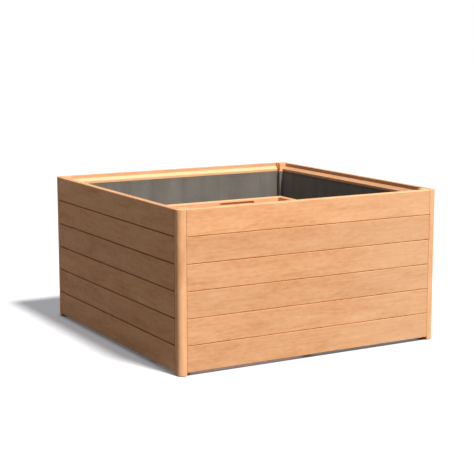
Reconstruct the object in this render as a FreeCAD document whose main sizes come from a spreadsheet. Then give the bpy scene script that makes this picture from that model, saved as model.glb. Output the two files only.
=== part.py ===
"""Raised garden bed: four walls of boards, tongued and grooved into each other and into rebated
corner posts, a felt liner let into bevelled inner rails, and a boarded divider that keeps one
corner dry.

Millimetres, +Z up. The origin is the middle of the footprint, on the ground. The front wall
faces -Y and the left wall faces -X.
"""
import FreeCAD, Part
import math
import os

import Sketcher
from FreeCAD import Placement, Rotation, Vector

# Driving dimensions: name, size, what it is.
DIMENSIONS = [
    ("bed_length", 1500, "outside, along X"),
    ("bed_width", 1500, "outside, along Y"),
    ("board_cover", 130, "height that one board adds to a wall"),
    ("board_thick", 28, "thickness of a board"),
    ("board_gap", 0.4, "open joint between two stacked boards"),
    ("tongue_thick", 9, "thickness of the tongues on a board's upper edge and ends"),
    ("tongue_reach", 8, "reach of a tongue out of its board"),
    ("tongue_slack", 0.3, "clearance on each side of a tongue and above it"),
    ("vee_size", 3, "chamfer on the outer face along a joint"),
    ("arris_size", 1, "chamfer on the inner face along a joint"),
    ("rim_round", 5, "round on the outer edge of the rim"),
    ("ground_gap", 15, "ground to the lowest board"),
    ("post_size", 70, "corner post, square"),
    ("post_face", 42, "width of the post that shows beside the boards"),
    ("post_round", 25, "radius of the post's outer corner"),
    ("post_rim_round", 3, "round on the post's upper edge"),
    ("seat_gap", 0.2, "clearance behind and under a board in the post"),
    ("end_gap", 1.2, "clearance at a board's end"),
    ("liner_thick", 3, "felt liner"),
    ("liner_gap", 0.3, "clearance on each side of the liner"),
    ("liner_lift", 5, "lowest board's edge to the liner's lower edge"),
    ("rail_depth", 21, "inner rail, from back to front"),
    ("rail_flat", 3, "width of the rail's upper flat"),
    ("rail_fall", 15, "height of the rail's bevel"),
    ("rail_face", 13, "height of the rail's upright face"),
    ("rail_tail", 25, "height of the rail behind the felt, under its face"),
    ("rail_drop", 19, "rim to the top of the inner rail"),
    ("rail_gap", 0.5, "clearance at a rail's end and where a board is scribed over a rail"),
    ("divider_drop", 26, "rim to the top of the divider"),
    ("divider_depth", 290, "front wall to the long divider wall, clear width"),
    ("strip_drop", 4, "top of the divider to the top of its clamp strips"),
    ("strip_depth", 18, "clamp strip, from back to front"),
    ("batten_size", 28, "square batten inside the dry compartment"),
    ("batten_drop", 60, "top of the divider to the top of a batten"),
    ("batten_round", 3, "chamfer along a batten"),
    ("recess_length", 210, "grip recess in the divider"),
    ("recess_height", 26, "grip recess, top to bottom"),
    ("recess_depth", 6, "grip recess, into the board"),
    ("recess_drop", 10, "top of the divider to the top of the recess"),
    ("recess_offset", 256, "middle of the recess to the middle of the bed"),
    ("pad_width", 46, "square foot pad under a post"),
    ("pad_thick", 3, "foot pad, height under the post"),
    ("pad_corner", 9, "cut corner of a foot pad"),
    ("nail_width", 3.1, "diameter of a lost-head nail"),
    ("nail_length", 40, "nail through a rail or strip into a board"),
    ("nail_slack", 0.1, "clearance around a nail"),
]

BOARD_ROWS = 6
RAIL_NAILS = 3
STRIP_NAILS = 3

document = FreeCAD.newDocument("raised_garden_bed")
sheet = document.addObject("Spreadsheet::Sheet", "Sheet")


class Size:
    """A length that knows its number and the spreadsheet formula that gives it."""

    def __init__(self, value, formula):
        self.value = value
        self.formula = formula

    def __add__(self, other):
        other = as_size(other)
        return Size(self.value + other.value, f"({self.formula} + {other.formula})")

    def __radd__(self, other):
        return as_size(other) + self

    def __sub__(self, other):
        other = as_size(other)
        return Size(self.value - other.value, f"({self.formula} - {other.formula})")

    def __rsub__(self, other):
        return as_size(other) - self

    def __mul__(self, factor):
        return Size(self.value * factor, f"({self.formula} * {factor})")

    __rmul__ = __mul__

    def __truediv__(self, factor):
        return Size(self.value / factor, f"({self.formula} / {factor})")

    def __neg__(self):
        return as_size(0) - self


def as_size(number):
    """A plain number as a Size; a Size stays as it is."""
    if isinstance(number, Size):
        return number
    return Size(float(number), str(number))


def read_dimensions():
    """Write the driving dimensions to the sheet and give each back as a Size."""
    sizes = {}
    for row, (name, value, note) in enumerate(DIMENSIONS, start=1):
        sheet.set(f"A{row}", name)
        sheet.set(f"B{row}", str(value))
        sheet.set(f"C{row}", note)
        sheet.setAlias(f"B{row}", name)
        sizes[name] = Size(float(value), f"Sheet.{name}")
    document.recompute()
    return sizes


S = read_dimensions()

# Heights and planes that several pieces share.
wall_height = S["board_cover"] * BOARD_ROWS
rim_level = S["ground_gap"] + wall_height
inner_x = S["bed_length"] / 2 - S["board_thick"]
inner_y = S["bed_width"] / 2 - S["board_thick"]
liner_space = S["liner_thick"] + S["liner_gap"] * 2
felt_seat = S["liner_thick"] + S["liner_gap"]
rail_height = S["rail_fall"] + S["rail_face"]
rail_top = rim_level - S["rail_drop"]
rail_bottom = rail_top - rail_height
rail_reach = S["seat_gap"] + S["rail_depth"]
divider_top = rim_level - S["divider_drop"]
divider_front = -inner_y + S["divider_depth"]
divider_back = divider_front + S["board_thick"]
divider_left = -S["board_thick"] / 2
divider_right = S["board_thick"] / 2
strip_top = divider_top - S["strip_drop"]
rebate_depth = S["board_thick"] + S["seat_gap"]
tongue_near = (S["board_thick"] - S["tongue_thick"]) / 2
tongue_far = (S["board_thick"] + S["tongue_thick"]) / 2
groove_roof = S["tongue_reach"] + S["tongue_slack"] - S["board_gap"]
post_height = rim_level - S["pad_thick"]

TURN = {"front": 0, "right": 90, "rear": 180, "left": -90}

nodes = []


def keep(item, name):
    """Name a finished piece and put it on the list of pieces to write."""
    item.Label = name
    nodes.append(item)
    return item


def place(item, x, y, z, turn=0):
    """Turn an object about Z and bind its position to the sheet."""
    item.Placement = Placement(Vector(0, 0, 0), Rotation(Vector(0, 0, 1), turn))
    for axis, size in zip("xyz", (x, y, z)):
        item.setExpression(f"Placement.Base.{axis}", as_size(size).formula)


def turned(x, y, turn):
    """A point of the plan turned by a quarter, a half or three quarters of a turn."""
    steps = (turn // 90) % 4
    for _ in range(steps):
        x, y = -y, x
    return x, y


def empty_sketch(body, name, plane):
    """A sketch that lies on one of the body's own planes."""
    sketch = body.newObject("Sketcher::SketchObject", name)
    origin_plane = [item for item in body.Origin.OriginFeatures if item.Role == plane][0]
    sketch.AttachmentSupport = (origin_plane, [""])
    sketch.MapMode = "FlatFace"
    return sketch


def closed_outline(body, name, plane, corners):
    """A sketch whose lines run from corner to corner, each corner bound to the sheet.

    The lines start as a ring, and the constraints then carry every corner to its place.
    """
    sketch = empty_sketch(body, name, plane)
    count = len(corners)
    ring = []
    for index in range(count):
        angle = 2 * math.pi * index / count
        ring.append(Vector(math.cos(angle), math.sin(angle), 0))
    for index in range(count):
        sketch.addGeometry(Part.LineSegment(ring[index], ring[(index + 1) % count]))
    for index in range(count):
        sketch.addConstraint(Sketcher.Constraint("Coincident", index, 2, (index + 1) % count, 1))
    for index, corner in enumerate(corners):
        for kind, axis, size in zip(("DistanceX", "DistanceY"), (-2, -1), corner):
            size = as_size(size)
            if size.formula == "0":
                sketch.addConstraint(Sketcher.Constraint("PointOnObject", index, 1, axis))
                continue
            number = sketch.addConstraint(Sketcher.Constraint(kind, -1, 1, index, 1, size.value))
            sketch.setExpression(f"Constraints[{number}]", size.formula)
    return sketch


def add_pad(body, name, sketch, length, symmetric):
    """Push a sketch of the body out along its normal."""
    pad = body.newObject("PartDesign::Pad", name)
    pad.Profile = sketch
    pad.setExpression("Length", length.formula)
    if symmetric:
        pad.SideType = "Symmetric"
    document.recompute()
    return pad


def padded_body(name, plane, corners, length, symmetric):
    """A body made by pushing one outline out along its normal."""
    body = document.addObject("PartDesign::Body", name)
    sketch = closed_outline(body, name + "_profile", plane, corners)
    return body, add_pad(body, name + "_pad", sketch, length, symmetric)


def pocket(body, name, sketch, depth):
    """Cut a sketch into the body over a depth, on the side where the body has material."""
    before = body.Shape.Volume
    cut = body.newObject("PartDesign::Pocket", name)
    cut.Profile = sketch
    cut.setExpression("Length", as_size(depth).formula)
    document.recompute()
    if body.Shape.Volume > before - 1:
        cut.Reversed = True
        document.recompute()
    if body.Shape.Volume > before - 1:
        raise ValueError(name + " cuts nothing")
    return cut


def edges_at(shape, points):
    """Names of the edges whose middles lie nearest to the given points."""
    names = []
    for point in points:
        where = Vector(*[as_size(value).value for value in point])
        gaps = [edge.CenterOfMass.distanceToPoint(where) for edge in shape.Edges]
        names.append(f"Edge{gaps.index(min(gaps)) + 1}")
    return names


def dress_edges(body, kind, name, base, points, size):
    """Fillet or chamfer the edges of a feature that lie nearest to the given points."""
    feature = body.newObject("PartDesign::" + kind, name)
    feature.Base = (base, edges_at(base.Shape, points))
    feature.setExpression("Radius" if kind == "Fillet" else "Size", size.formula)
    document.recompute()
    return feature


def cut_with(name, base, tool):
    """The base less a tool; both stay in the document and only the result is kept."""
    result = document.addObject("Part::Cut", name)
    result.Base = base
    result.Tool = tool
    return result


# --- Nails --------------------------------------------------------------------------------


def nail_shape(head, way, slack):
    """A lost-head nail from its head's middle along way; with a slack, the hole for it."""
    radius = S["nail_width"].value / 2 + slack
    start = head - way * slack
    return Part.makeCylinder(radius, S["nail_length"].value + slack * 2, start, way)


def slit_shape(head, way):
    """The square slit that a nail makes in the felt behind a clamp strip."""
    side = S["nail_width"].value + S["nail_slack"].value * 2
    slit = Part.makeBox(side, side, S["nail_length"].value)
    slit.translate(Vector(-side / 2, -side / 2, 0))
    slit.Placement = Placement(head, Rotation(Vector(0, 0, 1), way)) * slit.Placement
    return slit


def rail_nails(side):
    """Heads and directions of the nails along the rail of one wall."""
    along_x = side in ("front", "rear")
    half = (S["bed_length"] if along_x else S["bed_width"]).value / 2
    span = half - S["post_size"].value
    reach = (inner_y if along_x else inner_x) - rail_reach
    height = (rail_bottom + S["rail_face"] / 2).value
    way = Vector(*turned(0, -1, TURN[side]), 0)
    nails = []
    for index in range(RAIL_NAILS):
        along = span * (2 * (index + 0.5) / RAIL_NAILS - 1)
        x, y = turned(along, -reach.value, TURN[side])
        nails.append((Vector(x, y, height), way))
    return nails


def strip_nails():
    """Heads and directions of the nails in the divider's two clamp strips."""
    height = (strip_top - S["rail_fall"] - S["rail_face"] / 2).value
    off = liner_space + S["strip_depth"]
    across = (divider_back + off).value
    nails = []
    for index in range(STRIP_NAILS):
        along = -inner_x.value * (index + 0.5) / STRIP_NAILS
        nails.append((Vector(along, across, height), Vector(0, -1, 0)))
    across = (divider_right + off).value
    span = (divider_back + inner_y).value
    for index in range(STRIP_NAILS - 1):
        along = divider_back.value - span * (index + 0.5) / (STRIP_NAILS - 1)
        nails.append((Vector(across, along, height), Vector(-1, 0, 0)))
    return nails


def group(name, shapes):
    """One object that holds several separate solids."""
    item = document.addObject("Part::Feature", name)
    item.Shape = Part.makeCompound(shapes)
    return item


def make_nails():
    """The nails in the walls and in the divider, and the holes and slits that they need."""
    slack = S["nail_slack"].value
    rows = {side: rail_nails(side) for side in TURN}
    rows["divider"] = strip_nails()
    walls = [nail for side in TURN for nail in rows[side]]
    keep(group("rail_nails", [nail_shape(*nail, 0) for nail in walls]), "rail_nails")
    divider = [nail_shape(*nail, 0) for nail in rows["divider"]]
    keep(group("divider_nails", divider), "divider_nails")
    holes = {}
    for where, nails in rows.items():
        holes[where] = group(where + "_holes", [nail_shape(*nail, slack) for nail in nails])
    slits = [slit_shape(*nail) for nail in rows["divider"]]
    return holes, group("liner_slits", slits)


# --- Boards -------------------------------------------------------------------------------


def board_profile(height, grooved, tongued):
    """Corners of a board's section: outer face at 0, inner face at the board's thickness."""
    thick = S["board_thick"]
    vee = S["vee_size"]
    arris = S["arris_size"]
    slack = S["tongue_slack"]
    top = height - S["board_gap"] if tongued else height
    corners = [(vee, 0)]
    if grooved:
        corners += [
            (tongue_near - slack, 0),
            (tongue_near - slack, groove_roof),
            (tongue_far + slack, groove_roof),
            (tongue_far + slack, 0),
        ]
    corners += [(thick - arris, 0), (thick, arris), (thick, top - arris), (thick - arris, top)]
    if tongued:
        tip = top + S["tongue_reach"]
        corners += [
            (tongue_far, top),
            (tongue_far, tip - arris),
            (tongue_far - arris, tip),
            (tongue_near + arris, tip),
            (tongue_near, tip - arris),
            (tongue_near, top),
            (vee, top),
            (0, top - vee),
        ]
    else:
        corners += [(0, top)]
    return corners + [(0, vee)]


def make_board(name, row, length, bottom_height):
    """A board with its length along X, centred, outer face in the XZ plane."""
    lowest = row == 0
    highest = row == BOARD_ROWS - 1
    height = bottom_height if lowest else S["board_cover"]
    corners = board_profile(height, not lowest, not highest)
    blank = name + "_blank" if highest else name
    body, feature = padded_body(blank, "YZ_Plane", corners, length, True)
    if highest:
        rim = [(0, 0, height)]
        dress_edges(body, "Fillet", name + "_rim", feature, rim, S["rim_round"])
    return body


def add_end_tongues(body, name, row, length):
    """Tongues on both ends of a board, in line with the one on its upper edge."""
    start = groove_roof if row > 0 else as_size(0)
    tongued = row < BOARD_ROWS - 1
    reach = S["tongue_reach"]
    end = S["board_cover"]
    if tongued:
        end = end - S["board_gap"] + reach - S["arris_size"]
    corners = [(tongue_near, start), (tongue_far, start), (tongue_far, end), (tongue_near, end)]
    sketch = closed_outline(body, name + "_end_profile", "YZ_Plane", corners)
    add_pad(body, name + "_end_tongues", sketch, length + reach * 2, True)


def board_level(row, bottom_height):
    """Height of a board's lower edge above the ground."""
    if row == 0:
        return S["ground_gap"]
    return S["ground_gap"] + bottom_height + S["board_cover"] * (row - 1)


def make_wall(side, holes):
    """The boards of one outer wall, in the rebates of two posts, their tongues in the grooves."""
    along_x = side in ("front", "rear")
    span = S["bed_length"] if along_x else S["bed_width"]
    reach = S["bed_width"] if along_x else S["bed_length"]
    length = span - (S["post_face"] + S["end_gap"]) * 2
    x, y = turned(0, -1, TURN[side])
    for row in range(BOARD_ROWS):
        name = f"{side}_board_{row + 1}"
        body = make_board(name, row, length, S["board_cover"])
        add_end_tongues(body, name, row, length)
        level = board_level(row, S["board_cover"])
        place(body, reach * (x / 2), reach * (y / 2), level, TURN[side])
        highest = row == BOARD_ROWS - 1
        keep(cut_with(name, body, holes[side]) if highest else body, name)


def rail_section(slack):
    """Corners of an inner rail's section; with a slack, of the notch scribed over it.

    Under its face the rail steps back by the felt's thickness, so that the felt lies flush.
    """
    depth = S["rail_depth"] + slack
    bottom = -rail_height - slack
    return [
        (0, slack),
        (S["rail_flat"] + slack, slack),
        (depth, slack - S["rail_fall"]),
        (depth, bottom),
        (depth - felt_seat, bottom),
        (depth - felt_seat, bottom - S["rail_tail"]),
        (0, bottom - S["rail_tail"]),
    ]


def strip_section():
    """Corners of a clamp strip's section, with its back at 0."""
    depth = S["strip_depth"]
    shoulder = (depth, -S["rail_fall"])
    return [(0, 0), (S["rail_flat"], 0), shoulder, (depth, -rail_height), (0, -rail_height)]


def make_divider(holes):
    """The two board walls of the divider; their top boards are scribed over the rails."""
    low = S["board_cover"] - S["divider_drop"]
    gap = S["seat_gap"]
    long_start = -inner_x + gap
    long_length = divider_right - long_start
    short_start = -inner_y + gap
    short_length = divider_front - gap - short_start
    layout = {
        "long": (long_length, (long_start + divider_right) / 2, divider_front, 0),
        "short": (short_length, divider_left, short_start + short_length / 2, -90),
    }
    for wall, (length, x, y, turn) in layout.items():
        for row in range(BOARD_ROWS):
            name = f"divider_{wall}_board_{row + 1}"
            highest = row == BOARD_ROWS - 1
            body = make_board(name, row, length, low)
            level = board_level(row, low)
            place(body, x, y, level, turn)
            if not highest:
                keep(body, name)
                continue
            if wall == "long":
                carve_recess(body, x)
            scribe_over_rail(body, name, level, -length / 2 if wall == "long" else length / 2)
            keep(cut_with(name, body, holes["divider"]), name)


def carve_recess(body, middle):
    """A shallow grip recess with sloping ends in the outer face of the divider's top board."""
    slope = S["recess_height"] / 2
    top = S["board_cover"] - S["recess_drop"]
    bottom = top - S["recess_height"]
    centre = -S["recess_offset"] - middle
    half = S["recess_length"] / 2
    corners = [
        (centre - half + slope, bottom),
        (centre + half - slope, bottom),
        (centre + half, bottom + slope),
        (centre + half - slope, top),
        (centre - half + slope, top),
        (centre - half, bottom + slope),
    ]
    sketch = closed_outline(body, "grip_recess_outline", "XZ_Plane", corners)
    cut = pocket(body, "grip_recess", sketch, S["recess_depth"])
    points = []
    for end in (centre - half, centre + half):
        points.append((end, S["recess_depth"] / 2, bottom + slope))
    dress_edges(body, "Fillet", "grip_recess_ends", cut, points, slope)


def scribe_over_rail(body, name, level, end):
    """Cut the end of a divider board to the section of the wall rail that it meets."""
    lift = rail_top - level
    side = 1 if end.value < 0 else -1
    corners = [(end + x * side, lift + z) for x, z in rail_section(S["rail_gap"])]
    sketch = closed_outline(body, name + "_scribe_outline", "XZ_Plane", corners)
    pocket(body, name + "_scribe", sketch, S["board_thick"])


# --- Posts and pads -----------------------------------------------------------------------

# Side of X, side of Y and quarter turn of each corner.
CORNERS = {
    "front_left": (-1, -1, 0),
    "front_right": (1, -1, 90),
    "rear_right": (1, 1, 180),
    "rear_left": (-1, 1, -90),
}


def make_post(corner):
    """A corner post: rebates and stopped grooves take the boards, the outer corner is round."""
    x_sign, y_sign, turn = CORNERS[corner]
    name = "corner_post_" + corner
    face = S["post_face"]
    size = S["post_size"]
    corners = [
        (0, 0),
        (face, 0),
        (face, rebate_depth),
        (size, rebate_depth),
        (size, size),
        (rebate_depth, size),
        (rebate_depth, face),
        (0, face),
    ]
    body, pad = padded_body(name, "XY_Plane", corners, post_height, False)
    upright = [(0, 0, post_height / 2)]
    rounded = dress_edges(body, "Fillet", name + "_corner", pad, upright, S["post_round"])
    middle = (face + S["post_round"]) / 2
    rim = [(middle, 0, post_height)]
    dress_edges(body, "Fillet", name + "_rim", rounded, rim, S["post_rim_round"])
    carve_grooves(body, name)
    place(body, S["bed_length"] / 2 * x_sign, S["bed_width"] / 2 * y_sign, S["pad_thick"], turn)
    keep(body, name)


def carve_grooves(body, name):
    """Grooves in both shoulders of a post, from its top down to the lowest board."""
    outer = S["post_face"] - S["tongue_reach"]
    inner = S["post_face"] + S["end_gap"]
    near = tongue_near - S["tongue_slack"]
    far = tongue_far + S["tongue_slack"]
    first = [(outer, near), (inner, near), (inner, far), (outer, far)]
    second = [(y, x) for x, y in first]
    for label, corners in (("first", first), ("second", second)):
        sketch = closed_outline(body, f"{name}_{label}_groove_outline", "XY_Plane", corners)
        sketch.setExpression("AttachmentOffset.Base.z", post_height.formula)
        pocket(body, f"{name}_{label}_groove", sketch, wall_height + S["seat_gap"])


def make_pad(corner):
    """A foot pad: a square plate with cut corners, glued under the post."""
    x_sign, y_sign, _ = CORNERS[corner]
    name = "foot_pad_" + corner
    half = S["pad_width"] / 2
    side = half - S["pad_corner"]
    corners = [
        (side, -half),
        (half, -side),
        (half, side),
        (side, half),
        (-side, half),
        (-half, side),
        (-half, -side),
        (-side, -half),
    ]
    body, _ = padded_body(name, "XY_Plane", corners, S["pad_thick"], False)
    inset = S["post_size"] / 2
    x = (S["bed_length"] / 2 - inset) * x_sign
    y = (S["bed_width"] / 2 - inset) * y_sign
    place(body, x, y, 0)
    keep(body, name)


# --- Rails, strips and battens ------------------------------------------------------------


def make_rail(name, section, length, x, y, top, turn, holes):
    """A bevelled rail with its back in the XZ plane and its length along X, centred."""
    body, _ = padded_body(name + "_blank", "YZ_Plane", section, length, True)
    place(body, x, y, top, turn)
    keep(cut_with(name, body, holes), name)


def make_rails(holes):
    """One rail on each wall, from post to post, with the felt let into it."""
    section = rail_section(as_size(0))
    for side, turn in TURN.items():
        along_x = side in ("front", "rear")
        span = S["bed_length"] if along_x else S["bed_width"]
        length = span - (S["post_size"] + S["rail_gap"]) * 2
        reach = (inner_y if along_x else inner_x) - S["seat_gap"]
        x, y = turned(0, -1, turn)
        name = "inner_rail_" + side
        make_rail(name, section, length, reach * x, reach * y, rail_top, turn, holes[side])


def make_strips(holes):
    """Clamp strips on the planting side of the divider, between the wall rails."""
    name = "divider_clamp_"
    section = strip_section()
    wall_rail = rail_reach + S["rail_gap"]
    back = divider_back + liner_space
    right = divider_right + liner_space
    start = -inner_x + wall_rail
    drills = holes["divider"]
    middle = (start + right) / 2
    make_rail(name + "long", section, right - start, middle, back, strip_top, 0, drills)
    start = -inner_y + wall_rail
    end = back - S["rail_gap"]
    middle = (start + end) / 2
    make_rail(name + "short", section, end - start, right, middle, strip_top, -90, drills)


def make_battens():
    """Square battens in the three corners where the divider meets itself and the walls."""
    size = S["batten_size"]
    gap = S["seat_gap"]
    bevel = S["batten_round"]
    height = divider_top - S["batten_drop"] - S["ground_gap"]
    corners = [
        (bevel, 0),
        (size - bevel, 0),
        (size, bevel),
        (size, size - bevel),
        (size - bevel, size),
        (bevel, size),
        (0, size - bevel),
        (0, bevel),
    ]
    layout = {
        "corner": (divider_left - gap - size, divider_front - gap - size),
        "left": (-inner_x + gap, divider_front - gap - size),
        "front": (divider_left - gap - size, -inner_y + gap),
    }
    for corner, (x, y) in layout.items():
        name = "divider_batten_" + corner
        body, _ = padded_body(name, "XY_Plane", corners, height, False)
        place(body, x, y, S["ground_gap"])
        keep(body, name)


# --- Liner --------------------------------------------------------------------------------


def box(name, low, high):
    """A box between two corners, bound to the sheet."""
    item = document.addObject("Part::Box", name)
    for side, start, end in zip(("Length", "Width", "Height"), low, high):
        item.setExpression(side, (end - start).formula)
    place(item, *low)
    return item


def lining_space(name, offset, bottom, top):
    """The space inside the rails, posts and divider, less an offset from each of them."""
    right = inner_x - rail_reach + felt_seat - offset
    back = inner_y - rail_reach + felt_seat - offset
    space = box(name, (-right, -back, bottom), (right, back, top))
    margin = S["board_thick"]
    low = bottom - margin
    high = top + margin
    outside_x = S["bed_length"] / 2
    outside_y = S["bed_width"] / 2
    block_high = (divider_right + offset, divider_back + offset, high)
    blocks = [box(name + "_divider", (-outside_x, -outside_y, low), block_high)]
    reach = S["post_size"] + offset
    for corner, (x_sign, y_sign, _) in CORNERS.items():
        x = -outside_x if x_sign < 0 else outside_x - reach
        y = -outside_y if y_sign < 0 else outside_y - reach
        blocks.append(box(f"{name}_{corner}", (x, y, low), (x + reach, y + reach, high)))
    joined = document.addObject("Part::MultiFuse", name + "_blocks")
    joined.Shapes = blocks
    return cut_with(name + "_clear", space, joined)


def make_liner(slits):
    """Felt on every wall, round the posts and over the divider.

    It is let into the wall rails and ends under their faces; at the divider it goes on up behind
    the clamp strips.
    """
    outside = S["liner_gap"]
    inside = outside + S["liner_thick"]
    bottom = S["ground_gap"] + S["liner_lift"]
    top = rail_bottom - S["rail_gap"]
    outer = lining_space("liner_outer", outside, bottom, top)
    room = lining_space("liner_room", inside, bottom - outside, top + outside)
    band = cut_with("liner_band", outer, room)
    wall_rail = rail_reach + S["rail_gap"]
    corner = (divider_right + inside, divider_back + inside, strip_top)
    long_edge = box("liner_long_edge", (-inner_x + wall_rail, divider_back + outside, top), corner)
    short_edge = box("liner_short_edge", (divider_right + outside, -inner_y + wall_rail, top), corner)
    shell = document.addObject("Part::MultiFuse", "liner_shell")
    shell.Shapes = [band, long_edge, short_edge]
    shell.Refine = True
    keep(cut_with("liner", shell, slits), "liner")


# --- Build, test and write ----------------------------------------------------------------


def build():
    """Make every piece."""
    holes, slits = make_nails()
    for side in TURN:
        make_wall(side, holes)
    make_divider(holes)
    for corner in CORNERS:
        make_post(corner)
        make_pad(corner)
    make_rails(holes)
    make_strips(holes)
    make_battens()
    make_liner(slits)


def check():
    """Stop if any object failed or any piece has no sound shape."""
    for item in document.Objects:
        if "Invalid" in item.State or "Error" in item.State:
            raise ValueError(f"{item.Label} did not compute: {item.State}")
    for item in nodes:
        if item.Shape.isNull() or not item.Shape.isValid() or not item.Shape.Solids:
            raise ValueError(f"{item.Label} has no sound shape")


def write():
    """Write every piece to its own file."""
    os.makedirs("parts", exist_ok=True)
    for item in nodes:
        item.Shape.exportStep(f"parts/{item.Label}.step")
        print(item.Label, len(item.Shape.Solids), round(item.Shape.Volume))


build()
document.recompute()
check()
write()
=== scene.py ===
"""The looks of a raised garden bed: planed hardwood boards, a felt lining, sun and a pale floor.

Lengths are in metres and colours are linear. Z points up, and the front wall faces -Y.
"""
import math
import random

import bpy
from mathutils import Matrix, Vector, noise


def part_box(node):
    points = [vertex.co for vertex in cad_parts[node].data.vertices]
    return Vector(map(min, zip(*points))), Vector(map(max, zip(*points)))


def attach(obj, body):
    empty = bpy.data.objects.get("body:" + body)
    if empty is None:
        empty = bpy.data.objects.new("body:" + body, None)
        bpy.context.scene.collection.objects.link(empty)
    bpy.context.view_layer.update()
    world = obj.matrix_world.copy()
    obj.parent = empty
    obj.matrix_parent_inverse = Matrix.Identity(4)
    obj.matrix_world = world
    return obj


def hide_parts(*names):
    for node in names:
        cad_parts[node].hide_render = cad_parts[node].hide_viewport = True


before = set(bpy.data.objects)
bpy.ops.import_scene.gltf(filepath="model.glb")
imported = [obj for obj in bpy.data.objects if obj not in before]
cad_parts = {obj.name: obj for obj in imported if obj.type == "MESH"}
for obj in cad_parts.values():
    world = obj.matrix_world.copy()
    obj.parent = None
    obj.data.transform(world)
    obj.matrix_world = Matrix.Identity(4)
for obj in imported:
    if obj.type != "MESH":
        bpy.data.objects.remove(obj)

# The camera of the photograph, measured from the corners of the bed. Its angles are in degrees.
CAMERA_PLACE = (-3.4092, -5.9448, 1.6535)
CAMERA_YAW = -29.763
CAMERA_DOWN = 9.577
CAMERA_LENS = 97.42

# Sunlight travels this way, as the shadow on the ground shows. Its spread is in degrees.
SUN_TRAVEL = (-0.134, 0.510, -0.850)
SUN_STRENGTH = 4.9
SUN_SPREAD = 8.5
SKY_COLOR = (0.97, 0.97, 1.04, 1.0)
SKY_STRENGTH = 0.27
WHITE = (1.0, 1.0, 1.0, 1.0)

# The floor as the bed is lit by it and as it is seen. The glow keeps its shadow soft and bluish,
# and fades within the contact reach of what stands on it.
FLOOR_SIZE = 60.0
FLOOR_LIGHT = (0.08, 0.08, 0.08, 1.0)
FLOOR_SHOWN = (0.62, 0.62, 0.62, 1.0)
GLOW_COLOR = (0.97, 1.0, 1.05, 1.0)
GLOW_STRENGTH = 0.20
CONTACT_REACH = 0.03

# Noise in the wood, along and across the grain: lumps in a metre, detail, roughness and warp.
WOOD_FIGURES = {
    "clouds": ((4.0, 16.0, 16.0), 4.0, 0.60, 0.6),
    "mottle": ((24.0, 60.0, 60.0), 3.0, 0.60, 0.0),
    "streaks": ((3.5, 130.0, 130.0), 4.0, 0.60, 0.0),
    "fibres": ((30.0, 800.0, 800.0), 2.0, 0.50, 0.0),
    "pores": ((70.0, 1500.0, 1500.0), 1.0, 0.50, 0.0),
}
# How far each figure moves the wood's colour along its ramp, and how far it raises the surface.
WOOD_SHADING = {"clouds": 1.00, "mottle": 0.60, "streaks": 0.45, "rings": 0.32, "fibres": 0.25}
WOOD_MIDDLE = 0.60
WOOD_RELIEF = {"streaks": 0.5, "rings": 0.35, "fibres": 0.25, "pores": -0.5}
# From the darkest grain to the palest.
WOOD_ROUGHNESS = (0.72, 0.58)
# Hardwood from its darkest grain to its palest.
WOOD_COLORS = (
    (0.0, (0.54, 0.225, 0.090, 1.0)),
    (0.35, (0.75, 0.350, 0.154, 1.0)),
    (0.62, (0.86, 0.430, 0.204, 1.0)),
    (1.0, (0.94, 0.530, 0.275, 1.0)),
)
PORE_COLOR = (0.30, 0.115, 0.045, 1.0)
PORE_RANGE = (0.60, 0.72)
PORE_SHARE = 0.25

# The growth rings. They wander sideways as a whole, and each wavers by that many spacings.
RING_SPACING = 0.0032
RING_WANDER = 0.06
WANDER_LUMPS = (1.4, 3.0, 3.0)
RING_WAVER = 2.4
WAVER_LUMPS = (5.0, 26.0, 26.0)
# Where a piece's pith line may lie: how far to the side, how far behind a face and how much askew.
PITH_ACROSS = 0.05
PITH_BEHIND = (0.045, 0.09)
PITH_SLOPE = 0.018
# Each piece takes its grain from a place of its own, within this length.
GRAIN_SHIFT = 90.0

# How bright each board is against the middle tone, lowest board first. The left boards stand in
# shade and are set darker, and the top right board is set darker for its sunlit rim: painted shade
# on top of each board's own tone. The other pieces' tones are spread a little.
BOARD_TONES_AND_SHADE = {
    "front_board": (0.94, 0.97, 0.94, 0.99, 0.96, 1.10),
    "left_board": (0.96, 0.87, 0.90, 0.86, 0.90, 0.92),
    "rear_board": (0.97, 1.02, 0.95, 1.00, 1.03, 0.90),
    "right_board": (1.00, 0.96, 1.02, 0.98, 0.95, 0.88),
}
PART_TONES_AND_SHADE = {
    "corner_post": 1.17,
    "inner_rail_rear": 1.04,
    # Painted shade: the right wall's rail stands in shade and is set darker than the others.
    "inner_rail_right": 0.80,
    "inner_rail": 1.04,
    "divider_clamp": 1.06,
    "divider_long": 1.00,
    "divider_batten": 0.82,
}
TONE_SPREAD = 0.03

# How far a piece's colour goes towards the pale one. The front boards get paler to the right.
PALE_COLOR = (0.96, 0.61, 0.35, 1.0)
PALENESS = {
    "corner_post": 0.14,
    # Painted shade: the right wall's rail is kept less pale than the others.
    "inner_rail_right": 0.15,
    "inner_rail": 0.36,
    "rear_board_6": 0.30,
    "left_board_6": 0.08,
    "divider_long": 0.35,
}
FRONT_FADE = (-0.10, 0.65)
FRONT_PALENESS = (0.03, 0.27)

# The rim's upper side is darkened: painted shade that tones down the sun on the faces that look
# up. It is told by its depth and by how far it faces up.
RIM_DEPTH = 0.006
RIM_FACING = (0.6, 1.0)
RIM_PAINTED_SHADE = 0.80
# The height that one board adds to a wall, and the length that shows between the posts.
BOARD_COVER = 0.130
BOARD_SHOWN = 1.416
# The tint along a board's joints fades out over this distance from them. It is partly the joints'
# own dark colour and partly painted shade in the grooves, far deeper on the shaded left wall.
JOINT_REACH = (0.0025, 0.0050)
JOINT_DARK_AND_SHADE_TINTS = {
    "front_board": (0.87, 0.80, 0.67, 1.0),
    "left_board": (0.36, 0.25, 0.11, 1.0),
}
JOINT_DARK_AND_SHADE_TINT = (0.50, 0.38, 0.28, 1.0)

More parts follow.
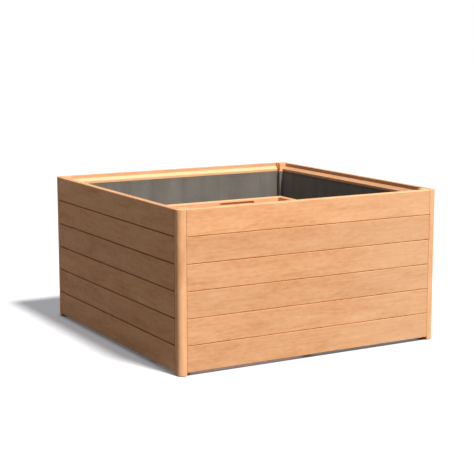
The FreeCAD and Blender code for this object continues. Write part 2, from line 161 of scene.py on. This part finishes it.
PAD_COLORS = ((0.022, 0.022, 0.023, 1.0), (0.060, 0.055, 0.050, 1.0))
STEEL_COLORS = ((0.25, (0.34, 0.33, 0.31, 1.0)), (0.75, (0.62, 0.61, 0.58, 1.0)))

# The felt: a band that goes round the planting space and laps over itself inside the front wall.
FELT_THICK = 0.003
FELT_CLEAR = 0.0003
FELT_BOTTOM = 0.020
FELT_COLUMN = 0.009
FELT_ROWS = 48
BEND_RADIUS = 0.0018
BEND_TURNS = 4
CORNER_RADIUS = 0.007
LAP_PLACE = 0.36
LAP_COLUMNS = 11
LAP_RISE_COLUMNS = 2
# A wall rail, from its top to the lower edge of its face, and the felt's clearance under that.
RAIL_HEIGHT = 0.028
RAIL_CLEAR = 0.0005
# The felt's folds are full from this depth down, and it lies still this close to its corners and
# its lap.
FREE_DEPTH = 0.32
CALM_REACH = 0.06
# How far the waves, dents and lower edge stray, and their lumps in a metre, sideways and down.
WAVE_RISE = 0.0026
DENT_RISE = 0.0009
FOOT_RISE = 0.003
WAVE_LUMPS = (5.0, 2.2)
DENT_LUMPS = (16.0, 9.0)
FOOT_LUMPS = (8.0, 0.0)
# Folds of the rear and right stretches: place along the wall, lean, half width and rise.
REAR_FOLDS = (
    (-0.300, 0.02, 0.026, 0.006), (-0.262, 0.03, 0.014, -0.004), (-0.520, -0.04, 0.050, 0.004),
    (0.120, 0.05, 0.045, -0.004), (0.440, -0.03, 0.020, -0.005), (0.525, 0.02, 0.022, 0.008),
)
RIGHT_FOLDS = (
    (0.390, -0.02, 0.022, 0.008), (0.285, 0.02, 0.026, -0.006), (0.060, 0.03, 0.020, 0.008),
    (-0.020, -0.03, 0.024, -0.006), (-0.250, 0.04, 0.050, 0.006), (-0.480, -0.05, 0.040, 0.005),
)
# Folds elsewhere are drawn at random within these.
FOLD_LEAN = 0.10
FOLD_WIDTH = (0.022, 0.060)
FOLD_RISE = (0.004, 0.008)
FOLD_SPACING = (0.09, 0.26)

# The felt's noise, its part in the colour and in the relief, as for the wood.
FELT_FIGURES = {
    "clouds": ((7.0, 7.0, 5.0), 4.0, 0.60, 0.0),
    "streaks": ((14.0, 14.0, 1.2), 3.0, 0.55, 0.0),
    "mat": ((160.0, 160.0, 160.0), 4.0, 0.70, 0.8),
    "fibres": ((620.0, 620.0, 900.0), 3.0, 0.70, 1.6),
}
FELT_SHADING = {"clouds": 0.55, "streaks": 0.65, "mat": 0.70, "fibres": 0.75}
FELT_MIDDLE = 0.50
FELT_RELIEF = {"mat": 1.0, "fibres": 0.7}
FELT_COLORS = (
    (0.0, (0.113, 0.095, 0.078, 1.0)),
    (0.5, (0.192, 0.168, 0.139, 1.0)),
    (1.0, (0.285, 0.257, 0.217, 1.0)),
)
# Under the rails the felt is darker and browner: painted shade.
UNDER_RAIL_SHADE_REACH = 0.022
UNDER_RAIL_SHADE_TINT = (0.58, 0.52, 0.42)


class NodeTree:
    """The shader nodes of a material or world, added and linked by short calls."""

    def __init__(self, owner):
        owner.use_nodes = True
        self.nodes = owner.node_tree.nodes
        self.links = owner.node_tree.links

    def feed(self, node, inputs):
        """Sets inputs, each by its name or number, to a value or to another node's output."""
        for key, value in inputs.items():
            if isinstance(value, bpy.types.NodeSocket):
                self.links.new(value, node.inputs[key])
            else:
                node.inputs[key].default_value = value

    def add(self, kind, inputs=None, **settings):
        node = self.nodes.new("ShaderNode" + kind)
        for name, value in settings.items():
            setattr(node, name, value)
        self.feed(node, inputs or {})
        return node

    def calc(self, operation, *values):
        """The result of one operation on numbers."""
        return self.add("Math", dict(enumerate(values)), operation=operation).outputs[0]

    def total(self, *values):
        """The sum of several numbers."""
        result = values[0]
        for value in values[1:]:
            result = self.calc("ADD", result, value)
        return result

    def vector(self, x, y, z):
        return self.add("CombineXYZ", {0: x, 1: y, 2: z}).outputs[0]

    def split(self, vector):
        """The x, y and z of a vector."""
        return self.add("SeparateXYZ", {0: vector}).outputs

    def stretched(self, point, per_metre):
        """The point scaled along each axis, so that a texture has that many lumps in a metre."""
        inputs = {0: point, 1: per_metre}
        return self.add("VectorMath", inputs, operation="MULTIPLY").outputs[0]

    def noise(self, point, per_metre, detail=2.0, roughness=0.5, warp=0.0):
        """Soft noise from 0 to 1."""
        inputs = {
            "Vector": self.stretched(point, per_metre),
            "Scale": 1.0,
            "Detail": detail,
            "Roughness": roughness,
            "Distortion": warp,
        }
        return self.add("TexNoise", inputs).outputs[0]

    def fade(self, value, start, end, low=0.0, high=1.0):
        """low where the value is at start or before, high at end or past it, smooth between."""
        inputs = {"Value": value, "From Min": start, "From Max": end, "To Min": low, "To Max": high}
        return self.add("MapRange", inputs, interpolation_type="SMOOTHSTEP").outputs[0]

    def ramp(self, value, stops):
        """The colour of a value on a ramp of stops, each a place from 0 to 1 and a colour."""
        node = self.add("ValToRGB", {0: value})
        elements = node.color_ramp.elements
        for place, _ in stops[2:]:
            elements.new(place)
        for element, (place, color) in zip(elements, stops):
            element.position = place
            element.color = color
        return node.outputs[0]

    def mix(self, factor, first, second, blend="MIX"):
        """The second colour laid over the first, as much as the factor says."""
        inputs = {0: factor, 6: first, 7: second}
        return self.add("Mix", inputs, data_type="RGBA", blend_type=blend).outputs[2]

    def dimmed(self, color, brightness):
        """The colour times a number."""
        grey = self.vector(brightness, brightness, brightness)
        return self.mix(1.0, color, grey, blend="MULTIPLY")


class Finish(NodeTree):
    """A material with one Principled surface, worked out from the place of each point."""

    def __init__(self, name):
        self.material = bpy.data.materials.new(name)
        super().__init__(self.material)
        self.surface = self.nodes["Principled BSDF"]
        self.place = self.add("TexCoord").outputs["Object"]

    def figures(self, point, table):
        """The noises of a table of figures, by name."""
        return {key: self.noise(point, *settings) for key, settings in table.items()}

    def shade(self, figures, shading, middle):
        """The middle value, moved by each figure as far as the shading says."""
        moves = [
            self.calc("MULTIPLY", self.calc("SUBTRACT", figures[key], 0.5), share)
            for key, share in shading.items()
        ]
        return self.total(*moves, middle)

    def relief(self, figures, heights):
        """The height of the surface: each figure times its own."""
        return self.total(*[
            self.calc("MULTIPLY", figures[key], height) for key, height in heights.items()
        ])

    def bump(self, height, distance, strength):
        inputs = {"Height": height, "Distance": distance, "Strength": strength}
        return self.add("Bump", inputs).outputs[0]


def size_order(name):
    """The axes of a node, 0 to 2, the longest first and the thinnest last."""
    low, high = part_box(name)
    size = high - low
    return sorted(range(3), key=lambda axis: -size[axis])


def value_for(name, table, otherwise):
    """The value beside the first key in the table that the name starts with."""
    return next((value for start, value in table.items() if name.startswith(start)), otherwise)


def tone_and_shade_of(name):
    """How bright a wooden piece is against the middle tone, with painted shade for some pieces."""
    stem, _, number = name.rpartition("_")
    if stem in BOARD_TONES_AND_SHADE:
        return BOARD_TONES_AND_SHADE[stem][int(number) - 1]
    spread = random.Random(name).uniform(-TONE_SPREAD, TONE_SPREAD)
    return value_for(name, PART_TONES_AND_SHADE, 1.0) + spread


def growth_rings(finish, draw, local, grain):
    """The growth rings, which lie round a pith line beside the piece and a little askew.

    So a face shows long arches and an end shows arcs.
    """
    along, across, through = local
    pith_across = draw.uniform(-PITH_ACROSS, PITH_ACROSS)
    pith_through = draw.choice((-1, 1)) * draw.uniform(*PITH_BEHIND)
    slope = draw.uniform(-PITH_SLOPE, PITH_SLOPE)
    wander = finish.noise(grain, WANDER_LUMPS)
    bend = finish.calc("MULTIPLY_ADD", wander, RING_WANDER, pith_across)
    ring_x = finish.calc("ADD", across, bend)
    ring_y = finish.calc("ADD", finish.calc("MULTIPLY_ADD", along, slope, pith_through), through)
    squares = finish.calc("MULTIPLY_ADD", ring_x, ring_x, finish.calc("MULTIPLY", ring_y, ring_y))
    radius = finish.calc("POWER", squares, 0.5)
    waver = finish.calc("MULTIPLY", finish.noise(grain, WAVER_LUMPS), RING_WAVER)
    count = finish.calc("MULTIPLY_ADD", radius, 1 / RING_SPACING, waver)
    inputs = {"W": count, "Scale": 1.0, "Detail": 1.0}
    return finish.add("TexNoise", inputs, noise_dimensions="1D").outputs[0]


def rim_shade_mask(finish, height, top):
    """1 on the upper side of the rim, where painted shade darkens it, 0 beside and below it."""
    facing_up = finish.split(finish.add("TexCoord").outputs["Normal"])[2]
    near_top = finish.fade(height, top - RIM_DEPTH, top)
    return finish.calc("MULTIPLY", near_top, finish.fade(facing_up, *RIM_FACING))


def at_joint(finish, name, height, along):
    """1 along a board's joints, and where a wall's board meets its posts, 0 elsewhere: where the
    joints' dark colour and painted shade are laid.
    """
    if name.endswith("_1"):
        away = finish.calc("SUBTRACT", BOARD_COVER, height)
    elif name.endswith("_6"):
        away = height
    else:
        away = finish.calc("PINGPONG", height, BOARD_COVER / 2)
    if not name.startswith("divider"):
        to_post = finish.calc("SUBTRACT", BOARD_SHOWN / 2, finish.calc("ABSOLUTE", along))
        away = finish.calc("MINIMUM", away, finish.calc("ABSOLUTE", to_post))
    return finish.fade(away, *JOINT_REACH, 1.0, 0.0)


def wood(name):
    """Planed hardwood for one piece, its grain along the piece's longest side."""
    finish = Finish(name + "_wood")
    draw = random.Random(name)
    low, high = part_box(name)
    middle = (low + high) / 2
    place = finish.split(finish.place)
    local = [finish.calc("SUBTRACT", place[axis], middle[axis]) for axis in size_order(name)]
    along, across, through = local
    shift = draw.uniform(0.0, GRAIN_SHIFT)
    grain = finish.vector(finish.calc("ADD", along, shift), across, through)

    figures = finish.figures(grain, WOOD_FIGURES)
    figures["rings"] = growth_rings(finish, draw, local, grain)
    figures["pores"] = finish.fade(figures["pores"], *PORE_RANGE)
    shade = finish.shade(figures, WOOD_SHADING, WOOD_MIDDLE)
    color = finish.ramp(shade, WOOD_COLORS)
    color = finish.mix(finish.calc("MULTIPLY", figures["pores"], PORE_SHARE), color, PORE_COLOR)
    color = finish.dimmed(color, tone_and_shade_of(name))
    pale = value_for(name, PALENESS, 0.0)
    if name.startswith("front_board"):
        pale = finish.fade(along, *FRONT_FADE, *FRONT_PALENESS)
    color = finish.mix(pale, color, PALE_COLOR)
    # Painted shade: the upper side of the rim is darkened.
    if name.endswith("_6") or name.startswith("corner_post"):
        rim = rim_shade_mask(finish, place[2], high.z)
        color = finish.dimmed(color, finish.calc("MULTIPLY_ADD", rim, RIM_PAINTED_SHADE - 1.0, 1.0))
    # The joints are darkened: their own dark colour, with painted shade in the grooves.
    if "_board_" in name:
        joint = at_joint(finish, name, finish.calc("SUBTRACT", place[2], low.z), along)
        tint = JOINT_DARK_AND_SHADE_TINTS.get(name.rpartition("_")[0], JOINT_DARK_AND_SHADE_TINT)
        color = finish.mix(joint, color, tint, blend="MULTIPLY")

    finish.feed(finish.surface, {
        "Base Color": color,
        "Roughness": finish.fade(shade, 0.1, 1.0, *WOOD_ROUGHNESS),
        "Specular IOR Level": 0.12,
        "Normal": finish.bump(finish.relief(figures, WOOD_RELIEF), 0.0009, 0.6),
    })
    return finish.material


def felt():
    """Needled grey-brown felt: a mat of fine fibres, cloudy, with a soft sheen."""
    finish = Finish("needled_felt")
    figures = finish.figures(finish.place, FELT_FIGURES)
    shade = finish.shade(figures, FELT_SHADING, FELT_MIDDLE)
    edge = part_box("inner_rail_rear")[1].z - RAIL_HEIGHT
    height = finish.split(finish.place)[2]
    # Painted shade: the felt is darkened and browned just under the rails.
    under_rail_shade = finish.vector(*[
        finish.fade(height, edge - UNDER_RAIL_SHADE_REACH, edge, 1.0, tint) for tint in UNDER_RAIL_SHADE_TINT
    ])
    finish.feed(finish.surface, {
        "Base Color": finish.mix(1.0, finish.ramp(shade, FELT_COLORS), under_rail_shade, "MULTIPLY"),
        "Roughness": 0.95,
        "Specular IOR Level": 0.1,
        "Sheen Weight": 0.12,
        "Sheen Roughness": 0.6,
        "Normal": finish.bump(finish.relief(figures, FELT_RELIEF), 0.0012, 0.8),
    })
    return finish.material


def plastic():
    """Black foot pads: finely grained plastic, dusty in places."""
    finish = Finish("black_plastic")
    grain = finish.noise(finish.place, (1400.0, 1400.0, 1400.0))
    dust = finish.fade(finish.noise(finish.place, (60.0, 60.0, 60.0), 4.0), 0.45, 0.75)
    finish.feed(finish.surface, {
        "Base Color": finish.mix(dust, *PAD_COLORS),
        "Roughness": finish.fade(dust, 0.0, 1.0, 0.48, 0.75),
        "Normal": finish.bump(grain, 0.0002, 0.6),
    })
    return finish.material


def steel():
    """Stainless nails, dulled by handling."""
    finish = Finish("nail_steel")
    wear = finish.noise(finish.place, (900.0, 900.0, 900.0), 3.0, 0.6)
    finish.feed(finish.surface, {
        "Base Color": finish.ramp(wear, STEEL_COLORS),
        "Metallic": 1.0,
        "Roughness": finish.fade(wear, 0.3, 0.7, 0.30, 0.50),
        "Normal": finish.bump(wear, 0.0001, 0.4),
    })
    return finish.material


def dress_nodes():
    """Gives every rigid piece its finish."""
    pad_finish = plastic()
    nail_finish = steel()
    for name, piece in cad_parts.items():
        if name == "liner":
            continue
        if name.startswith("foot_pad"):
            chosen = pad_finish
        elif name.endswith("_nails"):
            chosen = nail_finish
        else:
            chosen = wood(name)
        piece.data.materials.clear()
        piece.data.materials.append(chosen)


# ---------------------------------------------------------------- the felt lining

def lining_corners():
    """The corners of the lined space seen from above, anticlockwise, on the middle of the felt.

    Each comes with the radius that the felt takes there: small where it is drawn round a post or
    the divider, larger where it is only pushed into a corner.
    """
    low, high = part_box("liner")
    half = FELT_THICK / 2
    off = half + FELT_CLEAR
    right, rear = high.x - half, high.y - half
    left, front = low.x + half, low.y + half
    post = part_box("corner_post_rear_right")[0].x - off
    behind_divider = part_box("divider_long_board_3")[1].y + off
    beside_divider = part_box("divider_short_board_3")[1].x + off
    pushed, drawn = CORNER_RADIUS, BEND_RADIUS
    return [
        (Vector((beside_divider, front)), pushed),
        (Vector((post, front)), pushed),
        (Vector((post, -post)), drawn),
        (Vector((right, -post)), pushed),
        (Vector((right, post)), pushed),
        (Vector((post, post)), drawn),
        (Vector((post, rear)), pushed),
        (Vector((-post, rear)), pushed),
        (Vector((-post, post)), drawn),
        (Vector((left, post)), pushed),
        (Vector((left, behind_divider)), pushed),
        (Vector((beside_divider, behind_divider)), drawn),
    ]


def rounded_outline(corners, step):
    """Points on the closed outline: some round each bend, and about a step apart between them."""
    points = []
    count = len(corners)
    for index, (corner, radius) in enumerate(corners):
        following, following_radius = corners[(index + 1) % count]
        before = (corner - corners[index - 1][0]).normalized()
        after = (following - corner).normalized()
        centre = corner + (after - before) * radius
        for turn in range(BEND_TURNS + 1):
            angle = math.pi / 2 * turn / BEND_TURNS
            outward = before * math.sin(angle) - after * math.cos(angle)
            points.append(centre + outward * radius)
        start = corner + after * radius
        run = (following - corner).length - radius - following_radius
        parts = max(round(run / step), 1)
        points += [start + after * (run * part / parts) for part in range(1, parts)]
    return points


def smooth(value):
    """0 below 0, 1 above 1, and a soft rise between."""
    value = min(max(value, 0.0), 1.0)
    return value * value * (3.0 - 2.0 * value)


def felt_point(point, depth, lumps):
    """A place on the felt for noise with so many lumps in a metre, sideways and down."""
    sideways, down = lumps
    return Vector((point.x * sideways, point.y * sideways, depth * down))


def choose_folds(outline, right, rear):
    """The upright folds of the felt: those the photograph shows, and others out of its view.

    Each is its place in plan, how it leans for each metre down, its half width and its rise.
    """
    folds = [
        (Vector((x, rear)), Vector((lean, 0)), width, rise) for x, lean, width, rise in REAR_FOLDS
    ]
    folds += [
        (Vector((right, y)), Vector((0, lean)), width, rise) for y, lean, width, rise in RIGHT_FOLDS
    ]
    draw = random.Random("felt folds")
    due = 0.0
    walked = 0.0
    for index, point in enumerate(outline):
        onward = outline[(index + 1) % len(outline)] - point
        walked += onward.length
        if walked < due:
            continue
        shown = min(abs(point.x - right), abs(point.y - rear)) < FELT_COLUMN
        lean = onward.normalized() * draw.uniform(-FOLD_LEAN, FOLD_LEAN)
        width = draw.uniform(*FOLD_WIDTH)
        rise = draw.uniform(*FOLD_RISE)
        if not shown:
            folds.append((point, lean, width, rise))
        due = walked + draw.uniform(*FOLD_SPACING)
    return folds


def stand_off(point, depth, folds, backed):
    """How far the felt stands out at a place in plan, that depth under where it is held.

    Backed by a post or the divider it only stands out; elsewhere it can also go back.
    """
    rise = sum(
        fold_rise * math.exp(-(((point - place - lean * depth).length / width) ** 2))
        for place, lean, width, fold_rise in folds
    )
    waves = noise.noise(felt_point(point, depth, WAVE_LUMPS))
    dents = noise.fractal(felt_point(point, depth, DENT_LUMPS), 1.0, 2.0, 3)
    if backed:
        rise, waves, dents = max(rise, 0.0), waves + 1.0, dents + 1.0
    loose = rise + WAVE_RISE * waves + DENT_RISE * dents
    return max(loose, 0.0) if backed else loose


class Holding:
    """What holds the felt: wall rails, posts, and the divider with its clamp strips."""

    def __init__(self, divider_corner):
        self.divider_corner = divider_corner
        self.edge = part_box("liner")[1].z
        rail_low, rail_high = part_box("inner_rail_rear")
        self.rail_face = rail_low.y
        self.rail_bottom = rail_low.z
        self.under_face = rail_high.z - RAIL_HEIGHT - RAIL_CLEAR
        strip_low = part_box("divider_clamp_long")[0]
        self.strip_end = strip_low.x
        self.strip_bottom = strip_low.z

    def on_wall(self, point):
        return max(abs(point.x), abs(point.y)) > self.rail_face

    def heights(self, point):
        """Where the felt ends above at a place in plan, and from where on it hangs."""
        if self.on_wall(point):
            return self.under_face, self.rail_bottom
        corner = self.divider_corner
        if point.x < corner.x + FELT_THICK and point.y < corner.y + FELT_THICK:
            behind_strip = min(point.x, point.y) > self.strip_end + CORNER_RADIUS
            top = self.edge if behind_strip else self.strip_bottom - FELT_CLEAR
            return top, self.strip_bottom
        return self.under_face, self.under_face


def lining_vertices(outline, holding, folds, calm_places):
    """The places of the felt's mesh, column by column and from the top down.

    The last columns lap over the first ones.
    """
    vertices = []
    count = len(outline)
    for column in range(count + LAP_COLUMNS + 1):
        point = outline[column % count]
        onward = (outline[(column + 1) % count] - outline[(column - 1) % count]).normalized()
        inward = Vector((-onward.y, onward.x))
        top, held = holding.heights(point)
        backed = not holding.on_wall(point)
        lapped = smooth((column - count + LAP_RISE_COLUMNS) / LAP_RISE_COLUMNS)
        to_calm = min((point - place).length for place in calm_places)
        calm = smooth((to_calm - CORNER_RADIUS) / CALM_REACH)
        foot_wave = noise.noise(felt_point(point, 0.0, FOOT_LUMPS))
        foot = FELT_BOTTOM + FOOT_RISE * (0.5 + 0.5 * foot_wave)
        for row in range(FELT_ROWS + 1):
            height = top + (foot - top) * row / FELT_ROWS
            depth = max(held - height, 0.0)
            off = stand_off(point, depth, folds, backed) * smooth(depth / FREE_DEPTH) * calm
            place = point + inward * (off + lapped * (FELT_THICK + FELT_CLEAR))
            vertices.append((place.x, place.y, height))
    return vertices


def build_lining():
    """The felt, let into the wall rails, clamped by the divider's strips, and hanging below."""
    corners = lining_corners()
    outline = rounded_outline(corners, FELT_COLUMN)
    places = [corner for corner, _ in corners]
    right = max(place.x for place in places)
    rear = max(place.y for place in places)
    folds = choose_folds(outline, right, rear)
    lap = Vector((LAP_PLACE, min(place.y for place in places)))
    first = min(range(len(outline)), key=lambda index: (outline[index] - lap).length)
    outline = outline[first:] + outline[:first]
    holding = Holding(places[-1])

    vertices = lining_vertices(outline, holding, folds, places + [lap])
    line = FELT_ROWS + 1
    faces = []
    for column in range(len(outline) + LAP_COLUMNS):
        for row in range(FELT_ROWS):
            corner = column * line + row
            faces.append((corner, corner + 1, corner + line + 1, corner + line))
    mesh = bpy.data.meshes.new("felt_lining")
    mesh.from_pydata(vertices, [], faces)
    mesh.polygons.foreach_set("use_smooth", [True] * len(mesh.polygons))
    mesh.materials.append(felt())
    lining = bpy.data.objects.new("felt_lining", mesh)
    bpy.context.scene.collection.objects.link(lining)
    shell = lining.modifiers.new("thickness", "SOLIDIFY")
    shell.thickness = FELT_THICK
    shell.offset = 0.0
    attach(lining, "root")
    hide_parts("liner")

    outline += outline[:LAP_COLUMNS + 1]


# ---------------------------------------------------------------- floor, light and camera

def seen_directly(tree):
    """1 for rays from the camera, from gloss and through glass, 0 for those that light the bed."""
    path = tree.add("LightPath").outputs
    glossy = tree.calc("MAXIMUM", path["Is Glossy Ray"], path["Is Transmission Ray"])
    return tree.calc("MAXIMUM", path["Is Camera Ray"], glossy)


def add_sky():
    """A world that is white to look at, and lights the bed with a weak bluish light."""
    world = bpy.data.worlds.new("sky")
    bpy.context.scene.world = world
    tree = NodeTree(world)
    tree.nodes.clear()
    light = tree.add("Background", {"Color": SKY_COLOR, "Strength": SKY_STRENGTH})
    white = tree.add("Background", {"Color": WHITE, "Strength": 1.0})
    both = tree.add("MixShader", {0: seen_directly(tree), 1: light.outputs[0], 2: white.outputs[0]})
    tree.add("OutputWorld", {"Surface": both.outputs[0]})


def add_floor():
    """A pale floor: white where the sun falls, and bluish grey in the shadow."""
    half = FLOOR_SIZE / 2
    corners = [(-half, -half, 0), (half, -half, 0), (half, half, 0), (-half, half, 0)]
    mesh = bpy.data.meshes.new("floor")
    mesh.from_pydata(corners, [], [(0, 1, 2, 3)])
    floor = bpy.data.objects.new("floor", mesh)
    bpy.context.scene.collection.objects.link(floor)
    material = bpy.data.materials.new("pale_floor")
    tree = NodeTree(material)
    tree.nodes.clear()
    soft = tree.add("BsdfDiffuse", {"Color": FLOOR_LIGHT})
    shown = tree.add("BsdfDiffuse", {"Color": FLOOR_SHOWN})
    openness = tree.add("AmbientOcclusion", {"Distance": CONTACT_REACH}, samples=8).outputs["AO"]
    strength = tree.calc("MULTIPLY", openness, GLOW_STRENGTH)
    glow = tree.add("Emission", {"Color": GLOW_COLOR, "Strength": strength})
    bright = tree.add("AddShader", {0: shown.outputs[0], 1: glow.outputs[0]})
    both = tree.add("MixShader", {0: seen_directly(tree), 1: soft.outputs[0], 2: bright.outputs[0]})
    tree.add("OutputMaterial", {"Surface": both.outputs[0]})
    mesh.materials.append(material)


def add_sun():
    lamp = bpy.data.lights.new("sun", "SUN")
    lamp.energy = SUN_STRENGTH
    lamp.angle = math.radians(SUN_SPREAD)
    sun = bpy.data.objects.new("sun", lamp)
    sun.rotation_euler = Vector(SUN_TRAVEL).to_track_quat("-Z", "Y").to_euler()
    bpy.context.scene.collection.objects.link(sun)


def add_camera():
    camera = bpy.data.objects.new("camera", bpy.data.cameras.new("camera"))
    camera.data.lens = CAMERA_LENS
    camera.location = CAMERA_PLACE
    camera.rotation_euler = (math.radians(90 - CAMERA_DOWN), 0.0, math.radians(CAMERA_YAW))
    bpy.context.scene.collection.objects.link(camera)
    bpy.context.scene.camera = camera


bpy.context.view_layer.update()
dress_nodes()
build_lining()
add_floor()
add_sky()
add_sun()
add_camera()
bpy.context.scene.view_settings.view_transform = "Standard"
